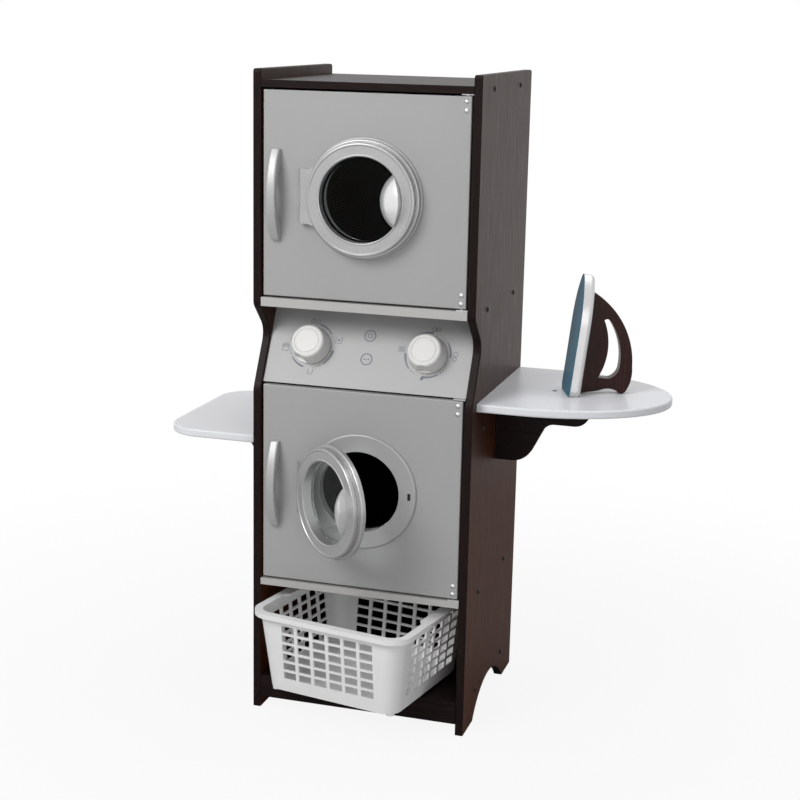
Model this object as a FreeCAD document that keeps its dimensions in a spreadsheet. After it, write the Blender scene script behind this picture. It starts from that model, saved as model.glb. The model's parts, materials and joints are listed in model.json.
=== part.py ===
import FreeCAD, Part
import math
import os
import re
import Sketcher

# Toy laundry station: dryer over washer in one cabinet, with a folding table, an ironing table,
# a basket and an iron. Millimetres, +Z up, front towards -Y, standing on Z = 0.

# Driving dimensions
SIZES = {
    # cabinet boards
    "cabinet_width": 346.5,
    "cabinet_depth": 316.0,
    "side_board": 12.7,
    "side_round": 5.0,
    "side_edge": 2.0,
    "foot_length": 60.0,
    "arch_rise": 45.0,
    "back_board": 3.2,
    # heights, stacked from the floor
    "kick_height": 43.0,
    "rail_height": 25.0,
    "floor_board": 11.0,
    "basket_headroom": 20.6,
    "washer_shelf": 10.4,
    "washer_bay": 313.9,
    "control_height": 118.2,
    "dryer_shelf": 13.5,
    "dryer_bay": 310.7,
    "roof_board": 11.0,
    "roof_drop": 15.6,
    "mid_drop": 63.3,
    # front notch and control panel
    "panel_tilt": 28.0,
    "panel_board": 9.0,
    "panel_setback": 10.0,
    "panel_recess": 4.7,
    "notch_depth": 45.0,
    "notch_shoulder": 45.0,
    "notch_round": 25.0,
    "brow_round": 28.0,
    "dial_inset": 68.55,
    "dial_rise": 62.5,
    # doors and their pivots
    "door_board": 12.0,
    "door_recess": 3.0,
    "door_gap": 3.0,
    "door_round": 1.5,
    "pivot_inset": 7.5,
    "pivot_radius": 2.5,
    "pivot_reach": 11.0,
    "pivot_plate": 1.6,
    "running_fit": 0.06,
    "hinge_screw_radius": 3.8,
    "hinge_screw_rise": 1.9,
    "hinge_screw_pitch": 12.6,
    "hinge_screw_inset": 7.4,
    "catch_width": 15.0,
    "catch_depth": 22.0,
    "catch_height": 34.0,
    "strike_radius": 6.0,
    "strike_board": 1.2,
    "rest_gap": 0.3,
    # bowed handles
    "handle_length": 134.0,
    "handle_width": 14.0,
    "handle_rise": 26.0,
    "handle_end": 7.0,
    "handle_gap": 92.0,
    "handle_strap": 9.0,
    "handle_inset": 20.5,
    "handle_round": 3.0,
    # portholes
    "window_radius": 62.8,
    "rim_width": 24.2,
    "rim_depth": 18.5,
    "flange_depth": 8.0,
    "rim_bead": 2.0,
    "rim_groove": 1.5,
    "rim_chamfer": 1.0,
    "sleeve_wall": 2.6,
    "frame_board": 3.7,
    "frame_margin": 3.0,
    "frame_round": 3.0,
    "tab_half": 40.0,
    "knuckle_height": 26.0,
    "knuckle_radius": 2.6,
    "barrel_radius": 4.25,
    "hinge_offset": 7.0,
    "pin_radius": 1.5,
    "pane_board": 2.4,
    "pane_ledge": 1.2,
    "grip_radius": 48.0,
    "grip_rise": 31.0,
    "grip_offset": 12.2,
    "latch_height": 9.0,
    "latch_width": 2.4,
    "latch_reach": 3.0,
    "washer_opening": 39.0,
    # knobs
    "knob_radius": 29.5,
    "knob_top_radius": 24.5,
    "knob_height": 26.0,
    "knob_skirt": 4.0,
    "knob_edge": 4.0,
    "knob_groove": 0.8,
    "knob_scoop": 22.0,
    "knob_scoop_reach": 46.0,
    "spindle_radius": 4.0,
    "spindle_socket": 12.0,
    "collar_radius": 9.0,
    "collar_board": 3.0,
    # side tables and corbel brackets
    "table_board": 12.6,
    "table_round": 3.0,
    "ironing_level": 521.0,
    "ironing_reach": 268.8,
    "ironing_straight": 62.0,
    "ironing_depth": 288.0,
    "ironing_front": 24.0,
    "table_screw_out": 90.0,
    "table_screw_radius": 4.0,
    "table_screw_rise": 0.8,
    "folding_level": 440.0,
    "folding_reach": 164.3,
    "folding_depth": 290.0,
    "folding_front": 23.0,
    "folding_corner": 57.0,
    "bracket_board": 12.7,
    "ironing_bracket_front": 150.0,
    "folding_bracket_front": 186.0,
    "bracket_height": 103.0,
    "bracket_foot": 49.0,
    "bracket_reach": 148.0,
    "bracket_lip": 40.0,
    "bracket_throat": 81.0,
    # bolts
    "bolt_radius": 4.6,
    "bolt_rise": 2.4,
    "bolt_front": 72.0,
    "bolt_back": 240.0,
    # basket
    "basket_height": 128.0,
    "basket_side_gap": 3.0,
    "basket_yaw": 10.8,
    "basket_forward": 41.0,
    "basket_wall": 2.6,
    "basket_lip": 10.0,
    "basket_draft": 12.6,
    "basket_rim": 8.0,
    "basket_foot": 4.0,
    "basket_corner": 24.0,
    "basket_hole_wide": 21.5,
    "basket_hole_tall": 11.8,
    "basket_hole_pitch": 27.2,
    "basket_row_pitch": 15.5,
    "basket_row_start": 27.0,
    "basket_handle": 74.0,
    "basket_handle_lip": 7.0,
    # iron
    "iron_point": 188.5,
    "iron_width": 73.0,
    "iron_shoulder": 110.0,
    "iron_board": 17.0,
    "iron_plate": 1.2,
    "iron_round": 7.0,
    "iron_tip": 9.0,
    "iron_handle_board": 18.0,
    "iron_handle_round": 2.5,
    "iron_handle_rise": 77.6,
    "iron_handle_length": 161.0,
    "iron_nose_height": 50.0,
    "iron_thumb_rise": 14.0,
    "iron_grip_low": 31.0,
    "iron_grip_high": 120.0,
    "iron_grip_bar": 20.0,
    "iron_heel_gap": 1.0,
    "iron_lean": 6.3,
    "iron_yaw": 20.2,
    "iron_out": 107.1,
    "iron_back": 126.3,
}
BASKET_COLUMNS = 6
BASKET_ROWS = 6

doc = FreeCAD.newDocument("LaundryStation")
sheet = doc.addObject("Spreadsheet::Sheet", "Sizes")
for row, (size_name, size_value) in enumerate(SIZES.items(), start=1):
    sheet.set(f"A{row}", size_name)
    sheet.set(f"B{row}", str(size_value))
    sheet.setAlias(f"B{row}", size_name)
doc.recompute()

# Formulas, in the names of the sizes
INNER = "(cabinet_width / 2 - side_board)"
FLOOR_TOP = "(kick_height + floor_board)"
BAY_TOP = f"({FLOOR_TOP} + basket_foot + basket_height + basket_headroom)"
WASHER_FLOOR = f"({BAY_TOP} + washer_shelf)"
PANEL_LOW = f"({WASHER_FLOOR} + washer_bay)"
SHELF_LOW = f"({PANEL_LOW} + control_height)"
DRYER_FLOOR = f"({SHELF_LOW} + dryer_shelf)"
ROOF_LOW = f"({DRYER_FLOOR} + dryer_bay)"
ROOF_TOP = f"({ROOF_LOW} + roof_board)"
HEIGHT = f"({ROOF_TOP} + roof_drop)"
SHELF_DEPTH = "(cabinet_depth - back_board)"
NOTCH_LOW = f"({PANEL_LOW} - (panel_setback - panel_recess) / tan(panel_tilt))"
NOTCH_MID = f"({NOTCH_LOW} + notch_depth / tan(panel_tilt))"
NOTCH_TOP = f"({NOTCH_MID} + notch_shoulder)"
DIAL_X = f"({INNER} - dial_inset)"
DOOR_HALF = f"({INNER} - door_gap)"
DOOR_BACK = "(door_recess + door_board)"
PIVOT_X = f"({DOOR_HALF} - pivot_inset)"
RIM_RADIUS = "(window_radius + rim_width)"
AXIS_X = f"({RIM_RADIUS} + hinge_offset)"
FRAME_RADIUS = f"({RIM_RADIUS} + frame_margin)"
RING_LIFT = "(frame_board + rest_gap)"
TAB_LEFT = f"({AXIS_X} + barrel_radius)"
LATCH_X = f"({RIM_RADIUS} - rim_width / 3)"
BASKET_HALF = f"(({INNER} - basket_side_gap) / (cos(basket_yaw) + sin(basket_yaw)))"
MIDDLE_X = "((ironing_reach - folding_reach) / 2)"
SWING = (f"(({AXIS_X} + {RIM_RADIUS}) * sin(washer_opening) + rim_depth * cos(washer_opening)"
         " + barrel_radius - door_recess)")
MIDDLE_Y = f"((cabinet_depth - {SWING}) / 2)"

FRONT = FreeCAD.Rotation(FreeCAD.Vector(1, 0, 0), 90)
UPRIGHT = FreeCAD.Vector(0, 0, 1)


def bound(formula):
    """A formula in size names as an expression of the document."""
    return re.sub(r"[a-z_]+", lambda word: f"Sizes.{word[0]}" if word[0] in SIZES else word[0], formula)


def number(formula):
    return float(sheet.evalExpression(bound(formula)))


def place(thing, x, y, z, rotation=FreeCAD.Rotation()):
    """Put a sub-part at a point of the cabinet, whose front plane is y = 0 and middle x = 0."""
    thing.Placement = FreeCAD.Placement(FreeCAD.Vector(), rotation)
    thing.setExpression("Placement.Base.x", bound(f"{x} - {MIDDLE_X}"))
    thing.setExpression("Placement.Base.y", bound(f"{y} - {MIDDLE_Y}"))
    thing.setExpression("Placement.Base.z", bound(z))
    return thing


def new_body(label):
    body = doc.addObject("PartDesign::Body", label)
    body.Label = label
    return body


def new_sketch(body, name, role, lift="0"):
    sketch = body.newObject("Sketcher::SketchObject", f"{body.Name}_{name}")
    support = next(item for item in body.Origin.OriginFeatures if item.Role == role)
    sketch.AttachmentSupport = [(support, "")]
    sketch.MapMode = "FlatFace"
    sketch.setExpression("AttachmentOffset.Base.z", bound(lift))
    return sketch


def hold_point(sketch, geometry, position, x, y):
    """Bind a point of the sketch to two formulas."""
    for kind, formula, axis in (("DistanceX", x, -2), ("DistanceY", y, -1)):
        if formula == "0":
            sketch.addConstraint(Sketcher.Constraint("PointOnObject", geometry, position, axis))
        else:
            index = sketch.addConstraint(
                Sketcher.Constraint(kind, -1, 1, geometry, position, number(formula)))
            sketch.setExpression(f"Constraints[{index}]", bound(formula))


def hold_radius(sketch, geometry, formula):
    index = sketch.addConstraint(Sketcher.Constraint("Radius", geometry, number(formula)))
    sketch.setExpression(f"Constraints[{index}]", bound(formula))


def arc_between(start, end, radius, left):
    """The shorter arc from start to end, its centre to the left or right of the way there."""
    chord = end - start
    side = UPRIGHT.cross(chord).normalize() * (1 if left else -1)
    centre = (start + end) * 0.5 + side * math.sqrt(radius ** 2 - (chord.Length / 2) ** 2)
    first, last = (start, end) if left else (end, start)
    angles = [math.atan2(point.y - centre.y, point.x - centre.x) for point in (first, last)]
    return Part.ArcOfCircle(Part.Circle(centre, UPRIGHT, radius), angles[0], angles[1])


def outline(sketch, corners):
    """Draw a closed outline. A corner is (x, y), or (x, y, radius, "left" or "right") before an arc."""
    points = [FreeCAD.Vector(number(corner[0]), number(corner[1]), 0) for corner in corners]
    ends = []
    for index, corner in enumerate(corners):
        start, end = points[index], points[(index + 1) % len(points)]
        if len(corner) == 2:
            geometry = sketch.addGeometry(Part.LineSegment(start, end), False)
            ends.append((geometry, 1, 2))
        else:
            left = corner[3] == "left"
            geometry = sketch.addGeometry(arc_between(start, end, number(corner[2]), left), False)
            ends.append((geometry, 1, 2) if left else (geometry, 2, 1))
    sketch.addConstraint([Sketcher.Constraint("Coincident", here[0], here[2], following[0], following[1])
                          for here, following in zip(ends, ends[1:] + ends[:1])])
    for index, corner in enumerate(corners):
        geometry, first = ends[index][:2]
        hold_point(sketch, geometry, first, corner[0], corner[1])
        if len(corner) > 2:
            hold_radius(sketch, geometry, corner[2])
    return sketch


def rectangle(sketch, left, bottom, right, top):
    return outline(sketch, [(left, bottom), (right, bottom), (right, top), (left, top)])


def circle(sketch, x, y, radius):
    centre = FreeCAD.Vector(number(x), number(y), 0)
    geometry = sketch.addGeometry(Part.Circle(centre, UPRIGHT, number(radius)), False)
    hold_point(sketch, geometry, 3, x, y)
    hold_radius(sketch, geometry, radius)
    return sketch


def pad(body, sketch, length, symmetric=False, reverse=False):
    feature = body.newObject("PartDesign::Pad", f"{sketch.Name}_pad")
    feature.Profile = sketch
    feature.setExpression("Length", bound(length))
    feature.SideType = "Symmetric" if symmetric else "One side"
    feature.Reversed = reverse
    doc.recompute()
    return feature


def pocket(body, sketch, length=None, reverse=False):
    """Cut a sketch out of the body: to a depth, or right through both ways."""
    before = body.Shape.Volume
    feature = body.newObject("PartDesign::Pocket", f"{sketch.Name}_pocket")
    feature.Profile = sketch
    if length is None:
        feature.Type = "ThroughAll"
        feature.SideType = "Symmetric"
    else:
        feature.setExpression("Length", bound(length))
        feature.Reversed = reverse
    doc.recompute()
    if body.Shape.Volume > before - 0.1:
        raise RuntimeError(f"{feature.Name} cuts nothing")
    return feature


def revolve(body, sketch):
    feature = body.newObject("PartDesign::Revolution", f"{sketch.Name}_turn")
    feature.Profile = sketch
    feature.ReferenceAxis = (sketch, ["V_Axis"])
    feature.Angle = 360
    doc.recompute()
    return feature


def round_edges(body, name, radius, wanted):
    """Fillet the edges of the body's last feature that pass the test."""
    base = body.Tip
    names = [f"Edge{index}" for index, edge in enumerate(base.Shape.Edges, start=1) if wanted(edge)]
    if not names:
        raise RuntimeError(f"{body.Name} has no edge for {name}")
    feature = body.newObject("PartDesign::Fillet", f"{body.Name}_{name}")
    feature.Base = (base, names)
    feature.setExpression("Radius", bound(radius))
    doc.recompute()
    return feature


def runs_along(edge, axis):
    """True for a straight edge along one axis of its body."""
    if edge.Curve.TypeId != "Part::GeomLine":
        return False
    start, end = edge.Vertexes[0].Point, edge.Vertexes[-1].Point
    return abs(abs((end - start).normalize()[axis]) - 1) < 1e-6


def near(value, formula):
    return abs(value - number(formula)) < 0.01


def board(label, start, size):
    """A plain board: its lowest corner and its three sizes, as formulas."""
    box = doc.addObject("Part::Box", label)
    box.Label = label
    for side, formula in zip(("Length", "Width", "Height"), size):
        box.setExpression(side, bound(formula))
    return place(box, *start)


# Side panels: front notch beside the controls, arch between the feet
def side_panel(label, x):
    body = new_body(label)
    profile = new_sketch(body, "profile", "YZ_Plane")
    outline(profile, [
        ("0", "0"), ("cabinet_depth", "0"), ("cabinet_depth", HEIGHT), ("0", HEIGHT),
        ("0", NOTCH_TOP), ("notch_depth", NOTCH_MID), ("0", NOTCH_LOW)])
    pad(body, profile, "side_board")
    arch = new_sketch(body, "arch", "YZ_Plane")
    radius = "(((cabinet_depth / 2 - foot_length) ^ 2 + arch_rise ^ 2) / (2 * arch_rise))"
    circle(arch, "cabinet_depth / 2", f"arch_rise - {radius}", radius)
    pocket(body, arch)

    def across_at(y, z):
        return lambda edge: (runs_along(edge, 0) and near(edge.CenterOfMass.y, y)
                             and near(edge.CenterOfMass.z, z))
    round_edges(body, "notch", "notch_round", across_at("notch_depth", NOTCH_MID))
    round_edges(body, "shoulder", "notch_shoulder / 3", across_at("0", NOTCH_TOP))
    round_edges(body, "brow", "brow_round", across_at("0", NOTCH_LOW))
    round_edges(body, "top", "side_round", lambda edge: (
        runs_along(edge, 0) and near(edge.CenterOfMass.z, HEIGHT)))
    round_edges(body, "edge", "side_edge", lambda edge: (
        edge.BoundBox.XLength < 0.01 and edge.BoundBox.ZMax > number("arch_rise") + 0.01))
    return place(body, x, "0", "0")


side_panel("side_panel_left", "-cabinet_width / 2")
side_panel("side_panel_right", "cabinet_width / 2 - side_board")

# Boards between the side panels
ACROSS = f"2 * {INNER}"
board("roof", (f"-{INNER}", "0", ROOF_LOW), (ACROSS, SHELF_DEPTH, "roof_board"))
board("dryer_shelf", (f"-{INNER}", "0", SHELF_LOW), (ACROSS, SHELF_DEPTH, "dryer_shelf"))
MID_FRONT = f"({DOOR_BACK} + 2 * door_gap)"
board("mid_board", (f"-{INNER}", MID_FRONT, f"{PANEL_LOW} - mid_drop"),
      (ACROSS, f"{SHELF_DEPTH} - {MID_FRONT}", "side_board"))
board("washer_shelf", (f"-{INNER}", "0", BAY_TOP), (ACROSS, SHELF_DEPTH, "washer_shelf"))
board("basket_shelf", (f"-{INNER}", "0", "kick_height"), (ACROSS, SHELF_DEPTH, "floor_board"))
board("front_rail", (f"-{INNER}", "0", "kick_height - rail_height"), (ACROSS, "side_board", "rail_height"))
board("back_panel", (f"-{INNER}", SHELF_DEPTH, "kick_height"),
      (ACROSS, "back_board", f"{ROOF_TOP} - kick_height"))

# Slanted control panel, level along its lower edge, with a bore for each knob's spindle
TILTED = FreeCAD.Rotation(FreeCAD.Vector(1, 0, 0), 90 - number("panel_tilt"))


def control_panel():
    body = new_body("control_panel")
    face = new_sketch(body, "face", "XY_Plane")
    rectangle(face, f"-{INNER}", "0", INNER, "control_height / cos(panel_tilt)")
    for x in (f"-{DIAL_X}", DIAL_X):
        circle(face, x, "dial_rise", "spindle_radius + running_fit")
    pad(body, face, "panel_board", reverse=True)
    level = new_sketch(body, "level", "YZ_Plane")
    outline(level, [("0", "0"), ("0", "-panel_board"), ("panel_board * tan(panel_tilt)", "-panel_board")])
    pocket(body, level)
    return place(body, "0", "panel_setback", PANEL_LOW, TILTED)


control_panel()


# Side tables and the corbels under them
def ironing_table():
    body = new_body("ironing_table")
    top = new_sketch(body, "top", "XY_Plane")
    depth, reach = number("ironing_depth"), number("ironing_reach")
    straight = number("ironing_straight")
    ellipse = Part.Ellipse(FreeCAD.Vector(straight, depth / 2, 0), reach - straight, depth / 2)
    nose = top.addGeometry(Part.ArcOfEllipse(ellipse, -math.pi / 2, math.pi / 2), False)
    corners = [("ironing_straight", "ironing_depth"), ("0", "ironing_depth"), ("0", "0"),
               ("ironing_straight", "0")]
    points = [FreeCAD.Vector(number(x), number(y), 0) for x, y in corners]
    lines = [top.addGeometry(Part.LineSegment(*pair), False) for pair in zip(points, points[1:])]
    chain = [nose] + lines + [nose]
    for index, line in enumerate(chain[:-1]):
        top.addConstraint(Sketcher.Constraint("Coincident", line, 2, chain[index + 1], 1))
    for index, line in enumerate(lines):
        hold_point(top, line, 1, *corners[index])
    hold_point(top, lines[-1], 2, *corners[-1])
    pad(body, top, "table_board")
    round_edges(body, "rim", "table_round", lambda edge: (
        edge.BoundBox.ZLength < 0.01 and edge.BoundBox.XMax > 0.01))
    return place(body, "cabinet_width / 2", "ironing_front", "ironing_level - table_board")


def folding_table():
    body = new_body("folding_table")
    top = new_sketch(body, "top", "XY_Plane")
    rectangle(top, "-folding_reach", "0", "0", "folding_depth")
    pad(body, top, "table_board")
    round_edges(body, "corners", "folding_corner", lambda edge: (
        runs_along(edge, 2) and near(edge.CenterOfMass.x, "-folding_reach")))
    round_edges(body, "rim", "table_round", lambda edge: (
        edge.BoundBox.ZLength < 0.01 and edge.BoundBox.XMin < -0.01))
    return place(body, "-cabinet_width / 2", "folding_front", "folding_level - table_board")


def bracket(label, x, front, level, rotation):
    """Corbel with a rounded foot, a hollow throat and a lip under the table."""
    body = new_body(label)
    profile = new_sketch(body, "profile", "XZ_Plane")
    outline(profile, [
        ("0", "0"), ("0", "-bracket_height"), ("bracket_foot", "-bracket_height"),
        ("bracket_throat", "-bracket_lip"), ("bracket_reach", "-bracket_lip"), ("bracket_reach", "0")])
    pad(body, profile, "bracket_board", symmetric=True)

    def across_at(x, z):
        return lambda edge: (runs_along(edge, 1) and near(edge.CenterOfMass.x, x)
                             and near(edge.CenterOfMass.z, z))
    round_edges(body, "foot", "bracket_foot * 0.7", across_at("bracket_foot", "-bracket_height"))
    round_edges(body, "throat", "bracket_lip / 2", across_at("bracket_throat", "-bracket_lip"))
    round_edges(body, "tip", "bracket_lip * 0.6", across_at("bracket_reach", "-bracket_lip"))
    return place(body, x, f"{front} + bracket_board / 2", f"{level} - table_board", rotation)


ironing_table()
folding_table()
bracket("ironing_bracket", "cabinet_width / 2", "ironing_bracket_front", "ironing_level", FreeCAD.Rotation())
bracket("folding_bracket", "-cabinet_width / 2", "folding_bracket_front", "folding_level",
        FreeCAD.Rotation(UPRIGHT, 180))


# Domed fastener heads, one group of separate solids
def dome(radius, rise):
    """A shallow dome on the plane z = 0, top towards +z."""
    ball = (radius ** 2 + rise ** 2) / (2 * rise)
    cap = Part.makeSphere(ball, FreeCAD.Vector(0, 0, rise - ball))
    keep = Part.makeCylinder(radius, rise)
    return cap.common(keep)


def group(label, solids):
    feature = doc.addObject("Part::Feature", label)
    feature.Label = label
    feature.Shape = Part.makeCompound(solids)
    return place(feature, "0", "0", "0")


def cabinet_bolts():
    head = dome(number("bolt_radius"), number("bolt_rise"))
    side = number("cabinet_width / 2")
    rows = ["kick_height + floor_board / 2", f"{BAY_TOP} + washer_shelf / 2",
            f"{PANEL_LOW} - mid_drop + side_board / 2", f"{SHELF_LOW} + dryer_shelf / 2",
            f"{ROOF_LOW} + roof_board / 2"]
    solids = []
    for way in (-1, 1):
        outward = FreeCAD.Rotation(FreeCAD.Vector(0, 1, 0), 90 * way)
        for column in ("bolt_front", "bolt_back"):
            for height in rows:
                spot = FreeCAD.Vector(way * side, number(column), number(height))
                solids.append(head.transformed(FreeCAD.Placement(spot, outward).toMatrix()))
    on_table = FreeCAD.Vector(side + number("table_screw_out"),
                              number("ironing_bracket_front + bracket_board / 2"), number("ironing_level"))
    solids.append(dome(number("table_screw_radius"), number("table_screw_rise")).translated(on_table))
    return group("cabinet_bolts", solids)


cabinet_bolts()


# One door: board, handle, porthole frame, screws and strike plate, with its fixed pivots and catch
def door_board(name, low, high):
    height = f"({high} - {low} - 2 * door_gap)"
    body = new_body(f"{name}_door")
    face = new_sketch(body, "face", "XY_Plane")
    rectangle(face, f"-{DOOR_HALF}", f"-{height} / 2", DOOR_HALF, f"{height} / 2")
    circle(face, "0", "0", "window_radius + sleeve_wall + 2 * running_fit")
    pad(body, face, "door_board", reverse=True)
    for end, lift in (("low", f"{height} / 2"), ("high", f"-{height} / 2")):
        bore = new_sketch(body, f"bore_{end}", "XZ_Plane", lift)
        circle(bore, PIVOT_X, "-door_board / 2", "pivot_radius + running_fit")
        pocket(body, bore, "pivot_reach + door_gap", reverse=(end == "high"))
    round_edges(body, "front", "door_round", lambda edge: (
        near(edge.CenterOfMass.z, "0") and edge.Curve.TypeId == "Part::GeomLine"))
    return place(body, "0", "door_recess", f"({low} + {high}) / 2", FRONT)


def door_handle(name, middle):
    """A bowed strap, open behind for the fingers."""
    body = new_body(f"{name}_handle")
    side = new_sketch(body, "side", "YZ_Plane")
    bow = "(handle_rise - handle_end)"
    outer = f"((handle_length ^ 2 / 4 + {bow} ^ 2) / (2 * {bow}))"
    hollow = "(handle_rise - handle_strap)"
    inner = f"((handle_gap ^ 2 / 4 + {hollow} ^ 2) / (2 * {hollow}))"
    outline(side, [
        ("-handle_length / 2", "0"), ("-handle_gap / 2", "0", inner, "right"), ("handle_gap / 2", "0"),
        ("handle_length / 2", "0"), ("handle_length / 2", "handle_end", outer, "left"),
        ("-handle_length / 2", "handle_end")])
    pad(body, side, "handle_width", symmetric=True)
    round_edges(body, "bow", "handle_round", lambda edge: (
        edge.Curve.TypeId == "Part::GeomCircle" and near(edge.Curve.Radius, outer)))
    return place(body, f"-{DOOR_HALF} + handle_inset", "door_recess", middle, FRONT)


def porthole_frame(name, middle):
    """Fixed ring with a sleeve through the door, a latch slot and the hinge knuckle behind the tab."""
    body = new_body(f"{name}_porthole_frame")
    inner = "(window_radius + running_fit)"
    section = new_sketch(body, "section", "XZ_Plane")
    outline(section, [
        (inner, "-door_board"), (f"{inner} + sleeve_wall", "-door_board"), (f"{inner} + sleeve_wall", "0"),
        (FRAME_RADIUS, "0"), (FRAME_RADIUS, "frame_board"), (inner, "frame_board")])
    revolve(body, section)
    round_edges(body, "lip", "frame_round", lambda edge: (
        edge.Curve.TypeId == "Part::GeomCircle" and near(edge.Curve.Radius, FRAME_RADIUS)
        and near(edge.CenterOfMass.z, "frame_board")))
    base = new_sketch(body, "base", "XY_Plane")
    rectangle(base, f"-{TAB_LEFT}", "-tab_half", f"-{RIM_RADIUS} + rim_width / 2", "tab_half")
    pad(body, base, "frame_board")
    knuckle = new_sketch(body, "knuckle", "XY_Plane")
    knuckle_top = f"{RING_LIFT} + barrel_radius + knuckle_radius"
    rectangle(knuckle, f"-{AXIS_X} - knuckle_radius", "-knuckle_height / 2",
              f"-{AXIS_X} + knuckle_radius", "knuckle_height / 2")
    pad(body, knuckle, knuckle_top)
    round_edges(body, "barrel", "knuckle_radius * 0.98", lambda edge: (
        runs_along(edge, 1) and near(edge.CenterOfMass.z, knuckle_top)))
    bore = new_sketch(body, "bore", "XZ_Plane")
    circle(bore, f"-{AXIS_X}", f"{RING_LIFT} + barrel_radius", "pin_radius + running_fit")
    pocket(body, bore)
    slot = new_sketch(body, "slot", "XY_Plane", "frame_board")
    rectangle(slot, f"{LATCH_X} - latch_width", "-latch_height * 0.6",
              f"{LATCH_X} + latch_width", "latch_height * 0.6")
    pocket(body, slot, "frame_board")
    return place(body, "0", "door_recess", middle, FRONT)


def hinge_screws(name, low, high):
    head = dome(number("hinge_screw_radius"), number("hinge_screw_rise"))
    x = number(f"{DOOR_HALF} - pivot_inset")
    first = number(f"{low} + door_gap + hinge_screw_inset")
    last = number(f"{high} - door_gap - hinge_screw_inset")
    pitch = number("hinge_screw_pitch")
    solids = []
    for height in (first, first + pitch, last - pitch, last):
        spot = FreeCAD.Vector(x, number("door_recess"), height)
        solids.append(head.transformed(FreeCAD.Placement(spot, FRONT).toMatrix()))
    return group(f"{name}_hinge_screws", solids)


def strike_plate(name, middle):
    disc = doc.addObject("Part::Cylinder", f"{name}_strike")
    disc.Label = f"{name}_strike"
    disc.setExpression("Radius", bound("strike_radius"))
    disc.setExpression("Height", bound("strike_board"))
    return place(disc, f"-{DOOR_HALF} + catch_width / 2", f"{DOOR_BACK} + strike_board", middle, FRONT)


def door_pivots(name, low, high):
    """Two plates on the side panel, each with a pin into the door's edge."""
    plate = (number("2 * pivot_inset + door_gap"), number("door_board"), number("pivot_plate"))
    reach = number("door_gap - pivot_plate + pivot_reach")
    x, y = number(PIVOT_X), number("door_recess + door_board / 2")
    left, front = number(INNER) - plate[0], y - plate[1] / 2
    solids = []
    for level, way in ((number(low), 1), (number(high), -1)):
        bottom = level if way > 0 else level - plate[2]
        leaf = Part.makeBox(*plate, FreeCAD.Vector(left, front, bottom))
        pin = Part.makeCylinder(number("pivot_radius"), reach, FreeCAD.Vector(x, y, level + way * plate[2]),
                                FreeCAD.Vector(0, 0, way))
        solids.append(leaf.fuse(pin))
    return group(f"{name}_pivots", solids)


def door_catch(name, middle):
    """A block behind the door's free edge that the strike plate rests against."""
    corner = (f"-{INNER}", f"{DOOR_BACK} + strike_board + rest_gap", f"{middle} - catch_height / 2")
    return board(f"{name}_catch", corner, ("door_gap + catch_width", "catch_depth", "catch_height"))


# The swinging porthole: ring with hinge tab, pane and domed grip
def ring_placement(middle, opening):
    """Where the ring's back centre lies, and how it is turned, when it stands open by an angle."""
    front = number(f"door_recess - {RING_LIFT} - barrel_radius")
    axis = FreeCAD.Vector(number(f"-{AXIS_X}"), front, number(middle))
    arm = FreeCAD.Vector(number(AXIS_X), number("barrel_radius"), 0)
    turn = FreeCAD.Rotation(UPRIGHT, -opening)
    shift = FreeCAD.Vector(number(MIDDLE_X), number(MIDDLE_Y), 0)
    return FreeCAD.Placement(axis + turn.multVec(arm) - shift, turn * FRONT)


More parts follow.
